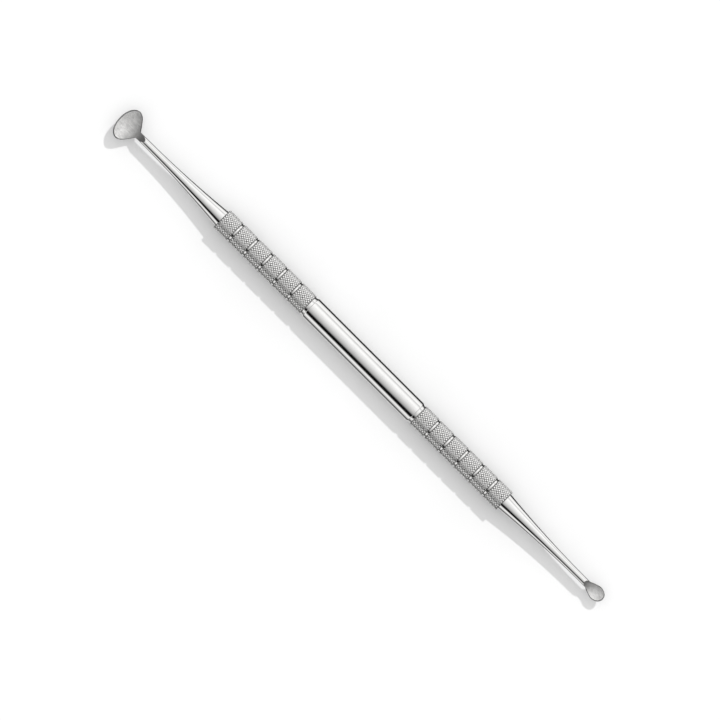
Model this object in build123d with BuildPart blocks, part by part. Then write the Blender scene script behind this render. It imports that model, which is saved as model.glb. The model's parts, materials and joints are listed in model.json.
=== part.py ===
"""Double-ended cuticle pusher, all stainless steel.

A knurled handle turned from bar, with a forged working end pressed into each end of it:
a wide pusher blade towards -X and a small spoon towards +X. The tool lies along X with both
hollow faces up (+Z), and the origin is on the handle's axis, midway along it.

The knurl's diamonds are not modelled: each knurled band is a plain cylinder at its full
outside diameter.
"""

import os
from math import radians, tan

from build123d import *

# Handle, a turned bar
handle_length = 82.0
handle_diameter = 5.0
end_chamfer = 0.2

# Grooves that divide each grip into knurled bands, the first one ending the smooth barrel
grooves_per_grip = 6
first_groove = 15.75
groove_pitch = 4.25
groove_opening = 0.8
groove_floor = 0.35
groove_depth = 0.27

# Press fit of a working end in the handle
tang_diameter = 2.6
tang_length = 11.5
tang_lead = 0.3
bore_depth = 12.0
drill_point_angle = 118.0

# Shank, the tapered round bar between the handle and a blade; distances are from the
# handle's end face, here and in both blades
shank_root_diameter = 3.94
shank_waist_diameter = 2.62
shank_waist_at = 7.4
shank_slim_diameter = 2.02
shank_slim_at = 13.6
neck_diameter = 1.6
neck_at = 23.7

# Wide pusher blade: its outline is at the height of the rim, and the flare is the curve of
# each flank from the lobe back to the neck
wide_lobes_at = 27.5
wide_nose = 2.1
wide_width = 7.36
wide_flare = ((25.5, 2.38), (24.6, 1.2))
wide_rim_height = 0.08
wide_bowl_at = 26.33
wide_bowl_radius = 5.5
wide_bowl_bottom = -0.41
wide_bowl_stretch = 1.2
wide_thickness = 0.55

# Small spoon, drawn in the same way
spoon_lobes_at = 27.05
spoon_nose = 1.7
spoon_width = 3.4
spoon_flare = ((25.3, 1.25), (24.5, 0.97))
spoon_rim_height = -0.1
spoon_bowl_at = 26.2
spoon_bowl_radius = 3.3
spoon_bowl_bottom = -0.57
spoon_bowl_stretch = 1.0
spoon_thickness = 0.4

# Both blades: half width where the flanks run into the neck, and rounding of the rims
flank_root = 0.6
rim_round = 0.12

handle_radius = handle_diameter / 2
tang_radius = tang_diameter / 2
neck_radius = neck_diameter / 2
blank_height = 2.5


def section_plane(side):
    """Upright plane through the handle's axis, with x pointing outward from its end face."""
    return Plane(origin=(side * handle_length / 2, 0, 0), x_dir=(side, 0, 0), z_dir=(0, -side, 0))


def shank_section(side, rod_end):
    """Half section of the tang, the shoulder and the tapered shank, to be turned about X."""
    with BuildSketch(section_plane(side)) as half:
        with BuildLine():
            tang = Polyline(
                (0, shank_root_diameter / 2),
                (0, tang_radius),
                (-tang_length + tang_lead, tang_radius),
                (-tang_length, tang_radius - tang_lead),
                (-tang_length, 0),
                (rod_end, 0),
                (rod_end, neck_radius),
                (neck_at, neck_radius),
            )
            Spline(
                tang @ 1,
                (shank_slim_at, shank_slim_diameter / 2),
                (shank_waist_at, shank_waist_diameter / 2),
                tang @ 0,
            )
        make_face()
    return half.sketch


def blade_outline(plan, grow, bowl_at, lobes_at, nose, width, flare):
    """A blade's outline, drawn about its bowl's centre and grown from there."""
    flare_points = [((at - bowl_at) * grow, half_width * grow) for at, half_width in flare]
    lobes = (lobes_at - bowl_at) * grow
    neck = (neck_at - bowl_at) * grow
    root = flank_root * grow
    with BuildSketch(plan) as outline:
        with BuildLine():
            front = EllipticalCenterArc(
                (lobes, 0), nose * grow, width / 2 * grow, start_angle=-90, arc_size=180
            )
            flank = Spline(
                front @ 1, *flare_points, (neck, root), tangents=((-1, 0), (-1, 0))
            )
            mirror(flank, about=Plane.XZ)
            Line((neck, root), (neck, -root))
        make_face()
    return outline.sketch


def bowl_section(plan, radius, stretch):
    """Half ellipse that turns about a line along Y into the hollow of a blade or its back."""
    with BuildSketch(plan) as half:
        Ellipse(radius, radius * stretch)
        Rectangle(radius, 4 * radius, align=(Align.MIN, Align.CENTER), mode=Mode.INTERSECT)
    return half.sketch


def forge(side, bowl_at, bottom, radius, stretch, thickness, rim_height, **outline):
    """Add a blade, its shank and its tang to the part being built.

    The blade's sides run towards the bowl's centre, so its edge is square to its faces.
    """
    centre_height = bottom + radius
    centre = (side * (handle_length / 2 + bowl_at), 0, centre_height)
    middle = Plane(origin=centre, x_dir=(side, 0, 0), z_dir=(0, 0, 1))
    turning_axis = Axis(centre, (0, 1, 0))

    blank = []
    for height in (-blank_height, blank_height):
        grow = (centre_height - height) / (centre_height - rim_height)
        level = middle.offset(height - centre_height)
        blank.append(blade_outline(level, grow, bowl_at, **outline))
    loft(blank, ruled=True)
    back = bowl_section(middle, radius + thickness, stretch)
    revolve(back, axis=turning_axis, mode=Mode.INTERSECT)
    hollow = bowl_section(middle, radius, stretch)
    revolve(hollow, axis=turning_axis, mode=Mode.SUBTRACT)
    neck_face = faces().sort_by(lambda face: abs(face.center().X))[0]
    rims = edges().filter_by(lambda edge: edge.length > 2 * thickness) - neck_face.edges()
    fillet(rims, rim_round)
    revolve(shank_section(side, bowl_at), axis=Axis.X)
    revolve(hollow, axis=turning_axis, mode=Mode.SUBTRACT)


# Handle: bar with end chamfers, the grip grooves, and a drilled bore in each end
groove_places = [
    side * (first_groove + groove_pitch * i)
    for side in (-1, 1)
    for i in range(grooves_per_grip)
]
drill_point = tang_radius / tan(radians(drill_point_angle / 2))

with BuildPart() as handle:
    with BuildSketch(Plane.YZ.offset(-handle_length / 2)):
        Circle(handle_radius)
    extrude(amount=handle_length)
    chamfer(handle.edges().filter_by(GeomType.CIRCLE), end_chamfer)
    with BuildSketch(Plane.XZ):
        for place in groove_places:
            with BuildLine():
                Polyline(
                    (place - groove_opening / 2, handle_radius),
                    (place - groove_floor / 2, handle_radius - groove_depth),
                    (place + groove_floor / 2, handle_radius - groove_depth),
                    (place + groove_opening / 2, handle_radius),
                    close=True,
                )
            make_face()
    revolve(axis=Axis.X, mode=Mode.SUBTRACT)
    for side in (-1, 1):
        with BuildSketch(section_plane(side)):
            with BuildLine():
                Polyline(
                    (0, 0),
                    (0, tang_radius),
                    (-bore_depth, tang_radius),
                    (-bore_depth - drill_point, 0),
                    close=True,
                )
            make_face()
        revolve(axis=Axis.X, mode=Mode.SUBTRACT)

with BuildPart() as wide_pusher:
    forge(
        side=-1,
        bowl_at=wide_bowl_at,
        bottom=wide_bowl_bottom,
        radius=wide_bowl_radius,
        stretch=wide_bowl_stretch,
        thickness=wide_thickness,
        rim_height=wide_rim_height,
        lobes_at=wide_lobes_at,
        nose=wide_nose,
        width=wide_width,
        flare=wide_flare,
    )

with BuildPart() as small_spoon:
    forge(
        side=1,
        bowl_at=spoon_bowl_at,
        bottom=spoon_bowl_bottom,
        radius=spoon_bowl_radius,
        stretch=spoon_bowl_stretch,
        thickness=spoon_thickness,
        rim_height=spoon_rim_height,
        lobes_at=spoon_lobes_at,
        nose=spoon_nose,
        width=spoon_width,
        flare=spoon_flare,
    )

os.makedirs("parts", exist_ok=True)
handle.part.label = "handle"
export_step(handle.part, "parts/handle.step")
wide_pusher.part.label = "wide_pusher"
export_step(wide_pusher.part, "parts/wide_pusher.step")
small_spoon.part.label = "small_spoon"
export_step(small_spoon.part, "parts/small_spoon.step")
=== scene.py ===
"""Looks of the double-ended cuticle pusher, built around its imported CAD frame.

The tool lies along X on a white table. Its pieces are drawn in millimetres and brought to
metres when they are finished.
"""

import json
import math

import bpy
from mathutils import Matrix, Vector


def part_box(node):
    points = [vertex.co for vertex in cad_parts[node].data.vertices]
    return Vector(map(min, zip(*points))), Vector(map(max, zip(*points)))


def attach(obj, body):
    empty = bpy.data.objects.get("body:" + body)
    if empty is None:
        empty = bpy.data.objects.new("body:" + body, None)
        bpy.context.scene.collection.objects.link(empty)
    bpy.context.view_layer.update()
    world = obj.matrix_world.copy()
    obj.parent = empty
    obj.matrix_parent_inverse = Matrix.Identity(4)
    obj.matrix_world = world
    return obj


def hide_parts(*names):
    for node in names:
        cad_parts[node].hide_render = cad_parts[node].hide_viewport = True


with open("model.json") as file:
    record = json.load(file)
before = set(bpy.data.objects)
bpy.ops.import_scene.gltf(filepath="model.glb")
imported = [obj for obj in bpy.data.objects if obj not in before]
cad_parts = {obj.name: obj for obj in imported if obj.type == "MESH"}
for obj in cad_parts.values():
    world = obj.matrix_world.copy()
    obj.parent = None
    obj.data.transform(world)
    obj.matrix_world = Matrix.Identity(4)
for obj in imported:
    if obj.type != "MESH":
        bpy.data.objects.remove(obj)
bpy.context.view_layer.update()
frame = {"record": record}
MM = 0.001

# Sizes taken from the frame, in millimetres
handle_low, handle_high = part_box("handle")
barrel_mount = frame["record"]["mounts"][0]
HANDLE_END = handle_high.x / MM
HANDLE_RADIUS = handle_high.z / MM
BARREL_HALF = barrel_mount["dims"]["length_mm"] / 2

# Grips: knurled bands with a groove beside each
BANDS_PER_GRIP = 6
BAND_PITCH = 4.25
BAND_LENGTH = 3.8
BAND_CHAMFER = 0.18
BAND_SQUEEZE = 0.3
CHAMFER_STEPS = 4
CAP_STEP = 0.01
CAP_INSET = 0.12
GROOVE_OPENING = 0.8
FIRST_GROOVE = BARREL_HALF + GROOVE_OPENING / 2
GROOVE_DEPTH = 0.27
GROOVE_RADIUS = HANDLE_RADIUS - GROOVE_DEPTH
GROOVE_STEPS = 8
SHOULDER_LENGTH = 0.38
SHOULDER_DROP = 0.18
SHOULDER_STEPS = 6
DIAMONDS_AROUND = 28
DIAMOND_ROWS = 5
DIAMOND_HEIGHT = 0.08
DIAMOND_SIDE = 0.065
DIAMOND_CROWN = 0.03
DRUM_RADIUS = HANDLE_RADIUS - DIAMOND_HEIGHT
CORE_RADIUS = DRUM_RADIUS - 0.05
CORE_SETBACK = 0.2
BAR_SEGMENTS = 128

# Working ends; distances are outward from the handle's end face
SHANK_ROOT = 1.95
SHANK_NECK = 0.78
NECK_AT = 23.7
SHANK_IN_HANDLE = 1.0
SHANK_IN_BLADE = 1.6
SHANK_RINGS = 48
SHANK_SEGMENTS = 96

WIDE_BLADE = {
    "side": -1,
    "tip": 29.65,
    "lobes": 27.44,
    "half_width": 3.8,
    "tip_pull": 3.1,
    "nose_pull": 0.6,
    "lobe_pull": 1.18,
    "root": (25.29, 2.13),
    "root_slope": math.tan(math.radians(46)),
    "root_pulls": (0.2, 0.45),
    "neck": (23.95, 0.68),
    "neck_pull": 0.6,
    "heel": 23.5,
    "bowl_at": 26.33,
    "bowl_radius": 5.5,
    "bowl_bottom": -0.41,
    "bowl_stretch": 1.2,
    "thickness": 0.55,
    "runout": 22.45,
    "rim_round": 0.07,
}
SMALL_SPOON = {
    "side": 1,
    "tip": 28.68,
    "lobes": 26.71,
    "half_width": 1.6,
    "tip_pull": 1.25,
    "nose_pull": 0.6,
    "lobe_pull": 0.25,
    "root": (25.0, 1.12),
    "root_slope": math.tan(math.radians(20)),
    "root_pulls": (0.3, 0.42),
    "neck": (23.88, 0.71),
    "neck_pull": 0.34,
    "heel": 23.6,
    "bowl_at": 26.2,
    "bowl_radius": 3.3,
    "bowl_bottom": -0.57,
    "bowl_stretch": 1.0,
    "thickness": 0.4,
    "runout": 23.42,
    "rim_round": 0.06,
}
GRIND_DEPTH = 0.015
RIM_STRIP = 0.09
OUTLINE_STEPS = 20
BOWL_SEGMENTS = 256
CAP_ABOVE_SHANK = 0.9
RAMP_WIDTH = 2.4
RAMP_HEIGHT = 1.2
RAMP_LEAD = 1
RIM_ANGLE = math.radians(50)
BACK, RIM, HOLLOW = range(3)

# Grid that a blade is cut into before it is bent
GRID_STEP = 0.18
GRID_LENGTH = 6.5
GRID_HALF_WIDTH = 3.6
BENCH_DEPTH = 5

# Table, lamp and camera: distances in metres, lens and sensor in millimetres
TABLE_SIZE = 6.0
TABLE_TONE = 0.8
LAMP_HEIGHT = math.radians(44)
LAMP_SPREAD = math.radians(2.2)
LAMP_SHARE = 0.26
LAMP_TRIM = 1.03
LENS = 400
SENSOR = 36
VIEW_WIDTH = 0.14803
VIEW_SHIFT = 0.00063

FULL_TURN = 2 * math.pi

# Closeness of points, in millimetres
SAME_PLACE = 1e-4
WELD = 2e-4
HAIR = 1e-3
CLEAR_OF_DRUM = 5e-3


# ---------------------------------------------------------------- bench tools


def only(piece):
    """Select one piece and make it active, with nothing else selected."""
    if bpy.context.object and bpy.context.object.mode != "OBJECT":
        bpy.ops.object.mode_set(mode="OBJECT")
    bpy.ops.object.select_all(action="DESELECT")
    piece.select_set(True)
    bpy.context.view_layer.objects.active = piece


def edit(piece, kind="VERT", chosen=None):
    """Open a piece in edit mode, with the elements that pass a test selected, or none."""
    only(piece)
    bpy.ops.object.mode_set(mode="EDIT")
    bpy.ops.mesh.select_mode(type=kind)
    bpy.ops.mesh.select_all(action="DESELECT")
    if chosen:
        bpy.ops.object.mode_set(mode="OBJECT")
        mesh = piece.data
        group = {"VERT": mesh.vertices, "EDGE": mesh.edges, "FACE": mesh.polygons}[kind]
        for element in group:
            element.select = chosen(mesh, element)
        bpy.ops.object.mode_set(mode="EDIT")


def close():
    bpy.ops.object.mode_set(mode="OBJECT")


def apply_modifier(piece, kind, **settings):
    only(piece)
    modifier = piece.modifiers.new(kind.title(), kind)
    for name, value in settings.items():
        setattr(modifier, name, value)
    bpy.ops.object.modifier_apply(modifier=modifier.name)


def turned(name, profile, segments):
    """A bar turned about X: profile is a list of (x, radius) from one end to the other."""
    start, radius = profile[0]
    bpy.ops.object.select_all(action="DESELECT")
    bpy.ops.mesh.primitive_circle_add(
        vertices=segments,
        radius=radius,
        fill_type="NGON",
        location=(start, 0, 0),
        rotation=(0, math.pi / 2, 0),
    )
    bar = bpy.context.object
    bar.name = name
    settle(bar)
    edit(bar)
    bpy.ops.mesh.select_all(action="SELECT")
    for (x, r), (next_x, next_r) in zip(profile, profile[1:]):
        bpy.ops.mesh.extrude_region_move(TRANSFORM_OT_translate={"value": (next_x - x, 0, 0)})
        bpy.ops.transform.resize(
            value=(1, next_r / r, next_r / r), center_override=(next_x, 0, 0)
        )
    bpy.ops.mesh.select_all(action="SELECT")
    bpy.ops.mesh.normals_make_consistent(inside=False)
    close()
    return bar


def settle(piece):
    """Put a piece's place, turn and scale into its mesh."""
    only(piece)
    bpy.ops.object.transform_apply(location=True, rotation=True, scale=True)


def to_metres(piece):
    piece.scale = (MM, MM, MM)
    settle(piece)


def copy_of(piece, name, shift):
    """A copy with its own mesh, moved along X."""
    only(piece)
    bpy.ops.object.duplicate(linked=False)
    double = bpy.context.object
    double.name = name
    double.location.x = shift
    settle(double)
    return double


def finish_piece(piece, slot, smooth_angle, *materials):
    """Bring a piece to metres, shade it, give it its materials and tie it to the frame."""
    to_metres(piece)
    only(piece)
    bpy.ops.object.shade_smooth_by_angle(angle=math.radians(smooth_angle))
    for place, material in enumerate(materials):
        if place < len(piece.data.materials):
            piece.data.materials[place] = material
        else:
            piece.data.materials.append(material)
    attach(piece, "root")


# ---------------------------------------------------------------- materials


def node_tree(material):
    material.use_nodes = True
    tree = material.node_tree
    tree.nodes.clear()
    shader = tree.nodes.new("ShaderNodeBsdfPrincipled")
    output = tree.nodes.new("ShaderNodeOutputMaterial")
    tree.links.new(shader.outputs["BSDF"], output.inputs["Surface"])
    return tree, shader


def object_place(tree, stretch=(1, 1, 1)):
    """Object coordinates in millimetres, stretched along each axis."""
    place = tree.nodes.new("ShaderNodeTexCoord")
    scaled = tree.nodes.new("ShaderNodeMapping")
    scaled.inputs["Scale"].default_value = [s / MM for s in stretch]
    tree.links.new(place.outputs["Object"], scaled.inputs["Vector"])
    return scaled.outputs["Vector"]


def noise(tree, vector, scale, detail=3.0, roughness=0.55):
    node = tree.nodes.new("ShaderNodeTexNoise")
    node.inputs["Scale"].default_value = scale
    node.inputs["Detail"].default_value = detail
    node.inputs["Roughness"].default_value = roughness
    tree.links.new(vector, node.inputs["Vector"])
    return node.outputs["Fac"]


def remap(tree, value, low, high, to_low, to_high, smooth=False):
    node = tree.nodes.new("ShaderNodeMapRange")
    node.interpolation_type = "SMOOTHSTEP" if smooth else "LINEAR"
    node.inputs["From Min"].default_value = low
    node.inputs["From Max"].default_value = high
    node.inputs["To Min"].default_value = to_low
    node.inputs["To Max"].default_value = to_high
    tree.links.new(value, node.inputs["Value"])
    return node.outputs["Result"]


def math_node(tree, operation, first, second=None):
    node = tree.nodes.new("ShaderNodeMath")
    node.operation = operation
    for socket, value in zip(node.inputs, (first, second)):
        if value is None:
            continue
        if isinstance(value, (int, float)):
            socket.default_value = value
        else:
            tree.links.new(value, socket)
    return node.outputs["Value"]


def split(tree, vector):
    """The X, Y and Z of a vector."""
    parts = tree.nodes.new("ShaderNodeSeparateXYZ")
    tree.links.new(vector, parts.inputs["Vector"])
    return parts.outputs["X"], parts.outputs["Y"], parts.outputs["Z"]


def mix(tree, share, first, second):
    """A blend of two colours, each a socket or a plain strength of white."""
    node = tree.nodes.new("ShaderNodeMix")
    node.data_type = "RGBA"
    tree.links.new(share, node.inputs["Factor"])
    for name, colour in (("A", first), ("B", second)):
        if isinstance(colour, (int, float)):
            node.inputs[name].default_value = (colour, colour, colour, 1)
        else:
            tree.links.new(colour, node.inputs[name])
    return node.outputs["Result"]


def grey(tree, value, tint=(1.0, 1.0, 1.0)):
    """A colour from a brightness, with a slight tint."""
    node = tree.nodes.new("ShaderNodeCombineColor")
    for channel, part in zip(("Red", "Green", "Blue"), tint):
        tree.links.new(math_node(tree, "MULTIPLY", value, part), node.inputs[channel])
    return node.outputs["Color"]


def bump(tree, shader, height, strength, distance):
    node = tree.nodes.new("ShaderNodeBump")
    node.inputs["Strength"].default_value = strength
    node.inputs["Distance"].default_value = distance * MM
    tree.links.new(height, node.inputs["Height"])
    tree.links.new(node.outputs["Normal"], shader.inputs["Normal"])


STEEL_TINT = (1.0, 0.995, 0.985)


def polished_steel(name, rough_low, rough_high):
    """Bright polished bar, with fine turning marks round it and a little wear."""
    material = bpy.data.materials.new(name)
    tree, shader = node_tree(material)
    shader.inputs["Metallic"].default_value = 1.0
    turning = noise(tree, object_place(tree, (9, 0.5, 0.5)), 1.0, 4.0)
    wear = noise(tree, object_place(tree, (0.5, 0.9, 0.9)), 1.0, 5.0, 0.6)
    half_turning = math_node(tree, "MULTIPLY", turning, 0.5)
    half_wear = math_node(tree, "MULTIPLY", wear, 0.5)
    mixed = math_node(tree, "ADD", half_turning, half_wear)
    rough = remap(tree, mixed, 0.35, 0.65, rough_low, rough_high)
    tree.links.new(rough, shader.inputs["Roughness"])
    tone = remap(tree, wear, 0.3, 0.7, 0.80, 0.86)
    tree.links.new(grey(tree, tone, STEEL_TINT), shader.inputs["Base Color"])
    bump(tree, shader, turning, 0.06, 0.01)
    return material


def knurled_steel():
    """Pressed diamonds: bright worn crowns, duller in the cuts between them, where a near-black colour
    is painted shade.
    """
    material = bpy.data.materials.new("knurled_steel")
    tree, shader = node_tree(material)
    shader.inputs["Metallic"].default_value = 1.0
    place = tree.nodes.new("ShaderNodeTexCoord")
    _, y, z = split(tree, place.outputs["Object"])
    y_squared = math_node(tree, "POWER", y, 2.0)
    z_squared = math_node(tree, "POWER", z, 2.0)
    radius = math_node(tree, "SQRT", math_node(tree, "ADD", y_squared, z_squared))
    crown_top = HANDLE_RADIUS - 0.02
    crown_wear_and_painted_valley_shade = remap(tree, radius, DRUM_RADIUS * MM, crown_top * MM, 0.0, 1.0, smooth=True)
    grain = noise(tree, object_place(tree, (6, 6, 6)), 1.0, 4.0)
    # Base colour: light on the worn crowns, near black in the cuts between diamonds as painted shade.
    colour = math_node(tree, "ADD", math_node(tree, "MULTIPLY", crown_wear_and_painted_valley_shade, 0.82), 0.12)
    colour = math_node(tree, "MULTIPLY", colour, remap(tree, grain, 0.3, 0.7, 0.92, 1.06))
    tree.links.new(grey(tree, colour, STEEL_TINT), shader.inputs["Base Color"])
    rough = math_node(tree, "SUBTRACT", 0.40, math_node(tree, "MULTIPLY", crown_wear_and_painted_valley_shade, 0.14))
    tree.links.new(
        math_node(tree, "ADD", rough, remap(tree, grain, 0.3, 0.7, -0.03, 0.03)),
        shader.inputs["Roughness"],
    )
    bump(tree, shader, grain, 0.25, 0.01)
    return material


def ground_steel_painted_shade(name, dark_at, light_at):
    """Satin ground hollow: fine strokes along the tool, and painted shade that makes it darker towards
    the neck and lighter towards the tip.
    """
    material = bpy.data.materials.new(name)
    tree, shader = node_tree(material)
    shader.inputs["Metallic"].default_value = 1.0
    strokes = noise(tree, object_place(tree, (0.7, 7, 7)), 1.0, 6.0, 0.65)
    cloud = noise(tree, object_place(tree, (1.1, 1.6, 1.6)), 1.0, 4.0)
    place = tree.nodes.new("ShaderNodeTexCoord")
    x, _, _ = split(tree, place.outputs["Object"])
    # Painted shade along X: dark at dark_at, light at light_at.
    shade = remap(tree, x, dark_at * MM, light_at * MM, 0.0, 1.0, smooth=True)
    shade = math_node(tree, "ADD", math_node(tree, "MULTIPLY", shade, 0.66), 0.19)
    shade = math_node(tree, "MULTIPLY", shade, remap(tree, strokes, 0.3, 0.7, 0.78, 1.22))
    shade = math_node(tree, "MULTIPLY", shade, remap(tree, cloud, 0.3, 0.7, 0.88, 1.12))
    tree.links.new(grey(tree, shade, STEEL_TINT), shader.inputs["Base Color"])
    tree.links.new(remap(tree, strokes, 0.3, 0.7, 0.56, 0.68), shader.inputs["Roughness"])
    bump(tree, shader, strokes, 0.35, 0.012)
    return material


def edge_steel_painted_shade():
    """The thin edge of a blade, hand rounded and duller than its back; its dark colour is painted
    shade.
    """
    material = bpy.data.materials.new("edge_steel_painted_shade")
    tree, shader = node_tree(material)
    shader.inputs["Metallic"].default_value = 1.0
    grain = noise(tree, object_place(tree, (5, 5, 5)), 1.0, 4.0)
    # Painted shade: a dark base colour along the rim.
    tone = remap(tree, grain, 0.3, 0.7, 0.26, 0.36)
    tree.links.new(grey(tree, tone, STEEL_TINT), shader.inputs["Base Color"])
    tree.links.new(remap(tree, grain, 0.3, 0.7, 0.24, 0.34), shader.inputs["Roughness"])
    return material


# ---------------------------------------------------------------- handle


def groove(centre, half_width, top_radius):
    """Profile of one groove, from its left lip to its right lip, with a rounded floor."""
    points = []
    for i in range(GROOVE_STEPS + 1):
        across = -1 + 2 * i / GROOVE_STEPS
        depth = (top_radius - GROOVE_RADIUS) * math.sqrt(max(0.0, 1 - across**2))
        points.append((centre + across * half_width, top_radius - depth))
    return points


def band_centres(side):
    first = FIRST_GROOVE + BAND_PITCH / 2
    return [side * (first + BAND_PITCH * i) for i in range(BANDS_PER_GRIP)]


def handle_bar():
    """The bar under the knurl: smooth barrel in the middle and a groove beside each band."""
    groove_half = (BAND_PITCH - BAND_LENGTH) / 2
    right = []
    for step in range(SHOULDER_STEPS + 1):
        turn = math.pi / 2 * step / SHOULDER_STEPS
        x = BARREL_HALF - SHOULDER_LENGTH * (1 - math.sin(turn))
        right.append((x, HANDLE_RADIUS - SHOULDER_DROP * (1 - math.cos(turn))))
    for i in range(BANDS_PER_GRIP):
        centre = FIRST_GROOVE + BAND_PITCH * i
        floor = groove(centre, groove_half, CORE_RADIUS)
        right += floor[1:] if i == 0 else floor
    right.append((HANDLE_END - CORE_SETBACK, CORE_RADIUS))
    left = [(-x, r) for x, r in reversed(right)]
    return turned("handle_bar", left + right, BAR_SEGMENTS)


def is_grid_edge(mesh, edge):
    """True for an edge of the plain grid, along X or round the bar, and not at the rim."""
    a, b = (mesh.vertices[i].co for i in edge.vertices)
    rim_gap = min(abs(abs(end.x) - BAND_LENGTH / 2) for end in (a, b))
    goes_round = abs(a.x - b.x) < SAME_PLACE
    if rim_gap < SAME_PLACE and goes_round:
        return False
    turn = abs(math.atan2(a.y, a.z) - math.atan2(b.y, b.z)) % FULL_TURN
    turn = min(turn, FULL_TURN - turn)
    return goes_round or turn < SAME_PLACE


def knurled_band():
    """One knurled band at the origin: a drum whose wall is all diamonds."""
    bpy.ops.object.select_all(action="DESELECT")
    bpy.ops.mesh.primitive_circle_add(
        vertices=DIAMONDS_AROUND,
        radius=DRUM_RADIUS,
        location=(-BAND_LENGTH / 2, 0, 0),
        rotation=(0, math.pi / 2, 0),
    )
    band = bpy.context.object
    band.name = "knurled_band"
    settle(band)
    edit(band)
    bpy.ops.mesh.select_all(action="SELECT")
    for _ in range(DIAMOND_ROWS):
        bpy.ops.mesh.extrude_region_move(
            TRANSFORM_OT_translate={"value": (BAND_LENGTH / DIAMOND_ROWS, 0, 0)}
        )
    bpy.ops.mesh.select_all(action="SELECT")
    bpy.ops.mesh.normals_make_consistent(inside=False)
    bpy.ops.mesh.poke()
    edit(band, "EDGE", is_grid_edge)
    bpy.ops.mesh.dissolve_edges(use_verts=False)
    edit(band, "FACE")
    bpy.ops.mesh.select_all(action="SELECT")
    bpy.ops.mesh.normals_make_consistent(inside=False)
    bpy.ops.mesh.inset(
        use_individual=True, thickness=DIAMOND_SIDE, depth=DIAMOND_HEIGHT - DIAMOND_CROWN / 2
    )
    bpy.ops.mesh.inset(use_individual=True, thickness=DIAMOND_CROWN, depth=DIAMOND_CROWN / 2)
    for side in (-1, 1):
        rim_at = side * BAND_LENGTH / 2
        for step in range(1, CHAMFER_STEPS + 1):
            reach = abs(rim_at) - BAND_CHAMFER * (1 - step / (CHAMFER_STEPS + 1))
            edit(
                band,
                "VERT",
                lambda mesh, v: v.co.x * side > reach and v.co.yz.length > DRUM_RADIUS + CLEAR_OF_DRUM,
            )
            shrink = 1 - BAND_CHAMFER * BAND_SQUEEZE / CHAMFER_STEPS / HANDLE_RADIUS * step
            bpy.ops.transform.resize(value=(1, shrink, shrink), center_override=(0, 0, 0))
        edit(
            band,
            "VERT",
            lambda mesh, v: abs(v.co.x - rim_at) < SAME_PLACE
            and v.co.yz.length < DRUM_RADIUS + HAIR,
        )
        bpy.ops.mesh.extrude_region_move(TRANSFORM_OT_translate={"value": (side * CAP_STEP, 0, 0)})
        shrink = (DRUM_RADIUS - CAP_INSET) / DRUM_RADIUS
        bpy.ops.transform.resize(
            value=(1, shrink, shrink), center_override=(rim_at + side * CAP_STEP, 0, 0)
        )
        bpy.ops.mesh.edge_face_add()
    bpy.ops.mesh.select_all(action="SELECT")
    bpy.ops.mesh.normals_make_consistent(inside=False)
    close()
    return band


# ---------------------------------------------------------------- working ends


def shank(name, side):
    """Tapered shank, from inside the handle to inside the blade."""
    profile = [(-SHANK_IN_HANDLE, SHANK_ROOT)]
    for i in range(SHANK_RINGS + 1):
        along = i / SHANK_RINGS
        radius = SHANK_NECK + (SHANK_ROOT - SHANK_NECK) * (1 - along) ** 2
        profile.append((NECK_AT * along, radius))
    profile.append((NECK_AT + SHANK_IN_BLADE, SHANK_NECK))
    return turned(name, [(side * (HANDLE_END + x), r) for x, r in profile], SHANK_SEGMENTS)


def blade_outline(blade):
    """Closed outline of a blade's hollow face, flat, drawn with curve handles."""
    shrink = blade["bowl_radius"] / (blade["bowl_radius"] + blade["thickness"])
    tip, lobes, half = blade["tip"], blade["lobes"], blade["half_width"]
    root_x, root_y = blade["root"]
    neck_x, neck_y = blade["neck"]
    slope = blade["root_slope"]
    out_pull, in_pull = blade["root_pulls"]
    upper = [
        ((lobes, half), (lobes + blade["nose_pull"], half), (lobes - blade["lobe_pull"], half)),
        (
            (root_x, root_y),
            (root_x + out_pull, root_y + out_pull * slope),
            (root_x - in_pull, root_y - in_pull * slope),
        ),
        ((neck_x, neck_y), (neck_x + blade["neck_pull"], neck_y), (neck_x, neck_y)),
    ]
    lower = [
        tuple((x, -y) for x, y in (knot, right, left)) for knot, left, right in reversed(upper)
    ]
    heel = (blade["heel"], 0)
    front = ((tip, 0), (tip, -blade["tip_pull"]), (tip, blade["tip_pull"]))
    knots = [front] + upper + [(heel, heel, heel)] + lower
    bpy.ops.object.select_all(action="DESELECT")
    bpy.ops.curve.primitive_bezier_curve_add()
    outline = bpy.context.object
    outline.data.dimensions = "2D"
    outline.data.fill_mode = "NONE"
    spline = outline.data.splines[0]
    spline.bezier_points.add(len(knots) - len(spline.bezier_points))
    spline.use_cyclic_u = True
    spline.resolution_u = OUTLINE_STEPS
    for point, places in zip(spline.bezier_points, knots):
        point.handle_left_type = point.handle_right_type = "FREE"
        point.co, point.handle_left, point.handle_right = (
            ((x - blade["bowl_at"]) * shrink, y * shrink, 0) for x, y in places
        )
    bpy.ops.object.convert(target="MESH")
    outline = bpy.context.object
    behind = (neck_x - blade["bowl_at"]) * shrink - HAIR
    edit(outline, "VERT", lambda mesh, v: v.co.x < behind and abs(v.co.y) > HAIR)
    bpy.ops.mesh.dissolve_verts()
    close()
    return outline


def bowl_form(name, blade, radius):
    """The round form that a blade's hollow is ground to."""
    bpy.ops.object.select_all(action="DESELECT")
    bpy.ops.mesh.primitive_uv_sphere_add(
        segments=BOWL_SEGMENTS,
        ring_count=BOWL_SEGMENTS // 2,
        radius=radius,
        location=(
            blade["side"] * (HANDLE_END + blade["bowl_at"]),
            0,
            blade["bowl_bottom"] + blade["bowl_radius"],
        ),
        rotation=(math.pi / 2, 0, 0),
        scale=(1, 1, blade["bowl_stretch"]),
    )
    form = bpy.context.object
    form.name = name
    settle(form)
    bpy.ops.object.shade_smooth()
    return form


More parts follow.
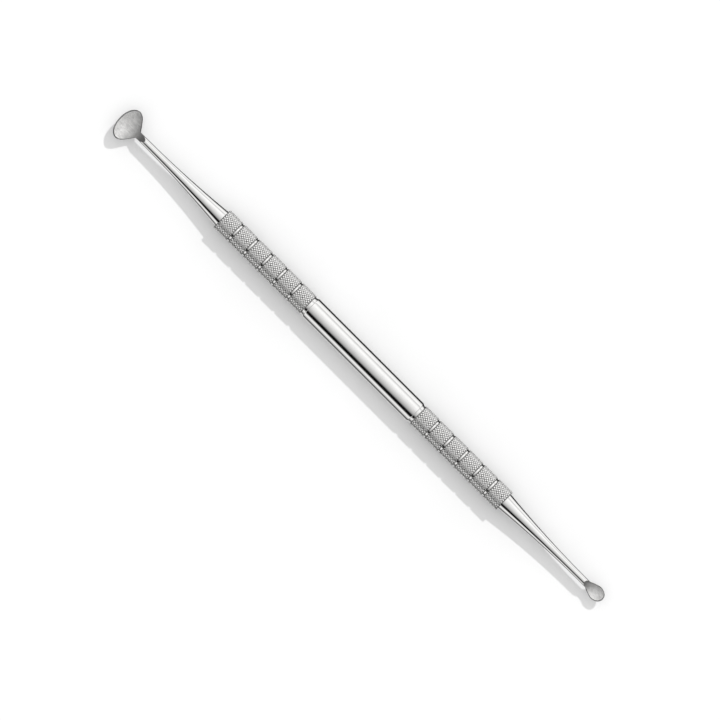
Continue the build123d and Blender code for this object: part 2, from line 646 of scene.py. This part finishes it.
def runout_form(name, blade):
    """Block whose under side is the ramp where the hollow runs out along the top of the shank."""
    radius = blade["bowl_radius"] + GRIND_DEPTH
    behind = blade["bowl_at"] - blade["runout"]
    above = blade["bowl_bottom"] + blade["bowl_radius"] - SHANK_NECK
    reach = math.hypot(behind, above)
    slope = math.asin(radius / reach) - math.atan2(above, behind)
    run = math.sqrt(reach**2 - radius**2)
    bpy.ops.object.select_all(action="DESELECT")
    bpy.ops.mesh.primitive_cube_add(size=1)
    block = bpy.context.object
    block.name = name
    edit(block)
    bpy.ops.mesh.select_all(action="SELECT")
    bpy.ops.transform.translate(value=(0.5, 0, 0.5))
    bpy.ops.transform.resize(
        value=(run + RAMP_LEAD, RAMP_WIDTH, RAMP_HEIGHT), center_override=(0, 0, 0)
    )
    bpy.ops.transform.translate(value=(-RAMP_LEAD, 0, 0))
    close()
    block.rotation_euler.y = slope
    block.location = (blade["runout"], 0, SHANK_NECK)
    settle(block)
    block.location.x = HANDLE_END
    settle(block)
    if blade["side"] < 0:
        block.rotation_euler.z = math.pi
        settle(block)
    return block


def discard(*pieces):
    bpy.ops.object.select_all(action="DESELECT")
    for piece in pieces:
        piece.select_set(True)
    bpy.ops.object.delete()


def give_steels(piece, steels, worn):
    """Give a piece all the steels, and every face the one at place `worn`."""
    for steel in steels:
        piece.data.materials.append(steel)
    for face in piece.data.polygons:
        face.material_index = worn


def flat_blade(name, blade):
    """The blade's outline laid flat below its bowl, filled and cut into a grid inside its rim."""
    side = blade["side"]
    shell = blade_outline(blade)
    shell.name = name
    shell.rotation_euler.z = 0 if side > 0 else math.pi
    shell.location = (side * (HANDLE_END + blade["bowl_at"]), 0, -BENCH_DEPTH)
    settle(shell)
    edit(shell)
    bpy.ops.mesh.select_all(action="SELECT")
    bpy.ops.mesh.remove_doubles(threshold=SAME_PLACE)
    bpy.ops.mesh.edge_face_add()
    close()
    edit(shell, "FACE")
    bpy.ops.mesh.select_all(action="SELECT")
    bpy.ops.mesh.inset(thickness=RIM_STRIP)
    bpy.ops.mesh.hide(unselected=True)
    low_x = min(v.co.x for v in shell.data.vertices)
    columns = int(GRID_LENGTH / GRID_STEP)
    rows = int(GRID_HALF_WIDTH / GRID_STEP)
    cuts = [((low_x + GRID_STEP * i, 0, 0), (1, 0, 0)) for i in range(1, columns)]
    cuts += [((0, GRID_STEP * (i + 0.5), 0), (0, 1, 0)) for i in range(-rows, rows)]
    for place, facing in cuts:
        bpy.ops.mesh.select_all(action="SELECT")
        bpy.ops.mesh.bisect(plane_co=place, plane_no=facing)
    bpy.ops.mesh.reveal()
    bpy.ops.mesh.select_all(action="SELECT")
    bpy.ops.mesh.normals_make_consistent(inside=False)
    close()
    if sum(face.normal.z for face in shell.data.polygons) < 0:
        edit(shell)
        bpy.ops.mesh.select_all(action="SELECT")
        bpy.ops.mesh.flip_normals()
        close()
    return shell


def working_end(name, blade, steels):
    """Blade shell bent to its bowl, joined to the shank, with the hollow ground through both."""
    shell = flat_blade(name, blade)
    give_steels(shell, steels, BACK)
    form = bowl_form(name + "_form", blade, blade["bowl_radius"])
    apply_modifier(
        shell,
        "SHRINKWRAP",
        wrap_method="PROJECT",
        use_project_z=True,
        use_positive_direction=True,
        use_negative_direction=False,
        target=form,
    )
    apply_modifier(
        shell,
        "SOLIDIFY",
        thickness=blade["thickness"],
        offset=-1,
        use_even_offset=False,
        use_quality_normals=True,
        material_offset_rim=RIM,
    )
    apply_modifier(
        shell,
        "BEVEL",
        width=blade["rim_round"],
        segments=3,
        use_clamp_overlap=False,
        limit_method="ANGLE",
        angle_limit=RIM_ANGLE,
    )
    rod = shank(name + "_rod", blade["side"])
    rod.data.materials.append(steels[BACK])
    apply_modifier(shell, "BOOLEAN", operation="UNION", object=rod, solver="EXACT")
    cutter = bowl_form(name + "_cutter", blade, blade["bowl_radius"] + GRIND_DEPTH)
    edit(cutter)
    bpy.ops.mesh.select_all(action="SELECT")
    bpy.ops.mesh.bisect(
        plane_co=(0, 0, SHANK_NECK + CAP_ABOVE_SHANK),
        plane_no=(0, 0, 1),
        clear_outer=True,
        use_fill=True,
    )
    close()
    ramp = runout_form(name + "_runout", blade)
    for tool in (cutter, ramp):
        give_steels(tool, steels, HOLLOW)
        apply_modifier(shell, "BOOLEAN", operation="DIFFERENCE", object=tool, solver="EXACT")
    discard(form, rod, cutter, ramp)
    edit(shell)
    bpy.ops.mesh.select_all(action="SELECT")
    bpy.ops.mesh.remove_doubles(threshold=WELD)
    bpy.ops.mesh.normals_make_consistent(inside=False)
    close()
    return shell


# ---------------------------------------------------------------- room

# Light that the polished steel mirrors, by angle round the tool in degrees: 0 is straight up,
# and positive angles lean away from the lamp's side. A strength of 1 is the brightest card.
STUDIO_BANDS = [
    (-180, 0.0),  # dark, then the low card on the lamp's side
    (-136, 0.01),
    (-124, 0.1),
    (-112, 0.8),
    (-84, 1.0),
    (-70, 0.6),  # gap between the low card and the high one
    (-54, 0.95),
    (-43, 1.0),
    (-9, 0.75),  # cloth overhead, fading to the far side
    (28, 0.4),
    (35, 0.25),
    (41, 0.05),
    (45, 0.0),  # black flag
    (63, 0.0),
    (68, 0.1),
    (73, 0.45),
    (80, 0.85),  # low card on the far side
    (90, 0.85),
    (102, 0.6),
    (110, 0.45),
    (119, 0.1),
    (125, 0.0),  # dark gap, then light from below
    (180, 1.0),
]
BAR_TONE = 0.83
END_GLOW = 0.5
ENDS_FROM = 0.55
ENDS_TO = 0.95


def band_light(tree, direction):
    """The studio bands round the tool, giving way to an even glow beyond its two ends."""
    x, y, z = split(tree, direction)
    lean = math_node(tree, "ARCTAN2", math_node(tree, "MULTIPLY", y, -1.0), z)
    ramp = tree.nodes.new("ShaderNodeValToRGB")
    tree.links.new(remap(tree, lean, -math.pi, math.pi, 0.0, 1.0), ramp.inputs["Fac"])
    stops = ramp.color_ramp.elements
    for angle, _ in STUDIO_BANDS[1:-1]:
        stops.new((angle + 180) / 360)
    for stop, (_, strength) in zip(stops, STUDIO_BANDS):
        stop.color = (strength, strength, strength, 1)
    along = math_node(tree, "ABSOLUTE", x)
    end_share = remap(tree, along, ENDS_FROM, ENDS_TO, 0.0, 1.0, smooth=True)
    return mix(tree, end_share, ramp.outputs["Color"], END_GLOW)


def studio():
    """White room for the table, and soft bands of light and dark for the steel to mirror."""
    world = bpy.data.worlds.new("studio")
    bpy.context.scene.world = world
    world.use_nodes = True
    tree = world.node_tree
    tree.nodes.clear()
    output = tree.nodes.new("ShaderNodeOutputWorld")
    light = tree.nodes.new("ShaderNodeBackground")
    tree.links.new(light.outputs["Background"], output.inputs["Surface"])
    look = tree.nodes.new("ShaderNodeTexCoord")
    brighter = tree.nodes.new("ShaderNodeVectorMath")
    brighter.operation = "SCALE"
    brighter.inputs["Scale"].default_value = 1 / BAR_TONE
    tree.links.new(band_light(tree, look.outputs["Generated"]), brighter.inputs["Vector"])
    path = tree.nodes.new("ShaderNodeLightPath")
    room = (1 - LAMP_SHARE) / TABLE_TONE
    choice = mix(tree, path.outputs["Is Glossy Ray"], room, brighter.outputs["Vector"])
    tree.links.new(choice, light.inputs["Color"])


def lamp():
    bpy.ops.object.light_add(
        type="SUN", location=(0, 0.5, 0.5), rotation=(-(math.pi / 2 - LAMP_HEIGHT), 0, 0)
    )
    sun = bpy.context.object
    sun.name = "key_lamp"
    sun.data.angle = LAMP_SPREAD
    sun.visible_glossy = False
    sun.data.energy = math.pi * LAMP_SHARE / TABLE_TONE / math.sin(LAMP_HEIGHT) * LAMP_TRIM


def table():
    bpy.ops.mesh.primitive_plane_add(size=TABLE_SIZE, location=(0, 0, -HANDLE_RADIUS * MM))
    top = bpy.context.object
    top.name = "table_top"
    settle(top)
    top.visible_glossy = False
    material = bpy.data.materials.new("white_table")
    tree, shader = node_tree(material)
    grain = noise(tree, object_place(tree, (0.05, 0.05, 0.05)), 1.0, 2.0)
    tone = remap(tree, grain, 0.3, 0.7, TABLE_TONE * 1.01, TABLE_TONE * 1.03)
    tree.links.new(grey(tree, tone), shader.inputs["Base Color"])
    shader.inputs["Roughness"].default_value = 1.0
    shader.inputs["Specular IOR Level"].default_value = 0.0
    top.data.materials.append(material)


def camera():
    distance = VIEW_WIDTH * LENS / SENSOR
    across = Vector((1, 1, 0)).normalized()
    bpy.ops.object.camera_add(
        location=-VIEW_SHIFT * across + Vector((0, 0, distance)),
        rotation=(0, 0, math.pi / 4),
    )
    eye = bpy.context.object
    eye.name = "camera"
    eye.data.lens = LENS
    eye.data.sensor_width = SENSOR
    eye.data.clip_start = 0.01
    eye.data.clip_end = 50
    bpy.context.scene.camera = eye


# ---------------------------------------------------------------- the tool

bar_steel = polished_steel("bar_steel", 0.05, 0.10)
forging_steel = polished_steel("forging_steel", 0.03, 0.06)
knurl = knurled_steel()
edge = edge_steel_painted_shade()
# The hollows carry painted shade, dark at their neck end and light at their tip end.
wide_hollow = ground_steel_painted_shade("wide_hollow", -63.8, -68.8)
spoon_hollow = ground_steel_painted_shade("spoon_hollow", 63.8, 68.0)

bar = handle_bar()
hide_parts("handle")
finish_piece(bar, "handle_steel", 30, bar_steel)

master = knurled_band()
bands = [
    copy_of(master, f"knurled_band_{number:02d}", centre)
    for number, centre in enumerate(sorted(band_centres(-1) + band_centres(1)), start=1)
]
discard(master)
for band in bands:
    finish_piece(band, "handle_steel", 20, knurl)

wide_steels = (forging_steel, edge, wide_hollow)
wide = working_end("wide_pusher_forging", WIDE_BLADE, wide_steels)
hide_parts("wide_pusher")
finish_piece(wide, "pusher_steel", 35, *wide_steels)

spoon_steels = (forging_steel, edge, spoon_hollow)
spoon = working_end("small_spoon_forging", SMALL_SPOON, spoon_steels)
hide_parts("small_spoon")
finish_piece(spoon, "spoon_steel", 35, *spoon_steels)

studio()
lamp()
table()
camera()
bpy.context.scene.view_settings.view_transform = "Standard"
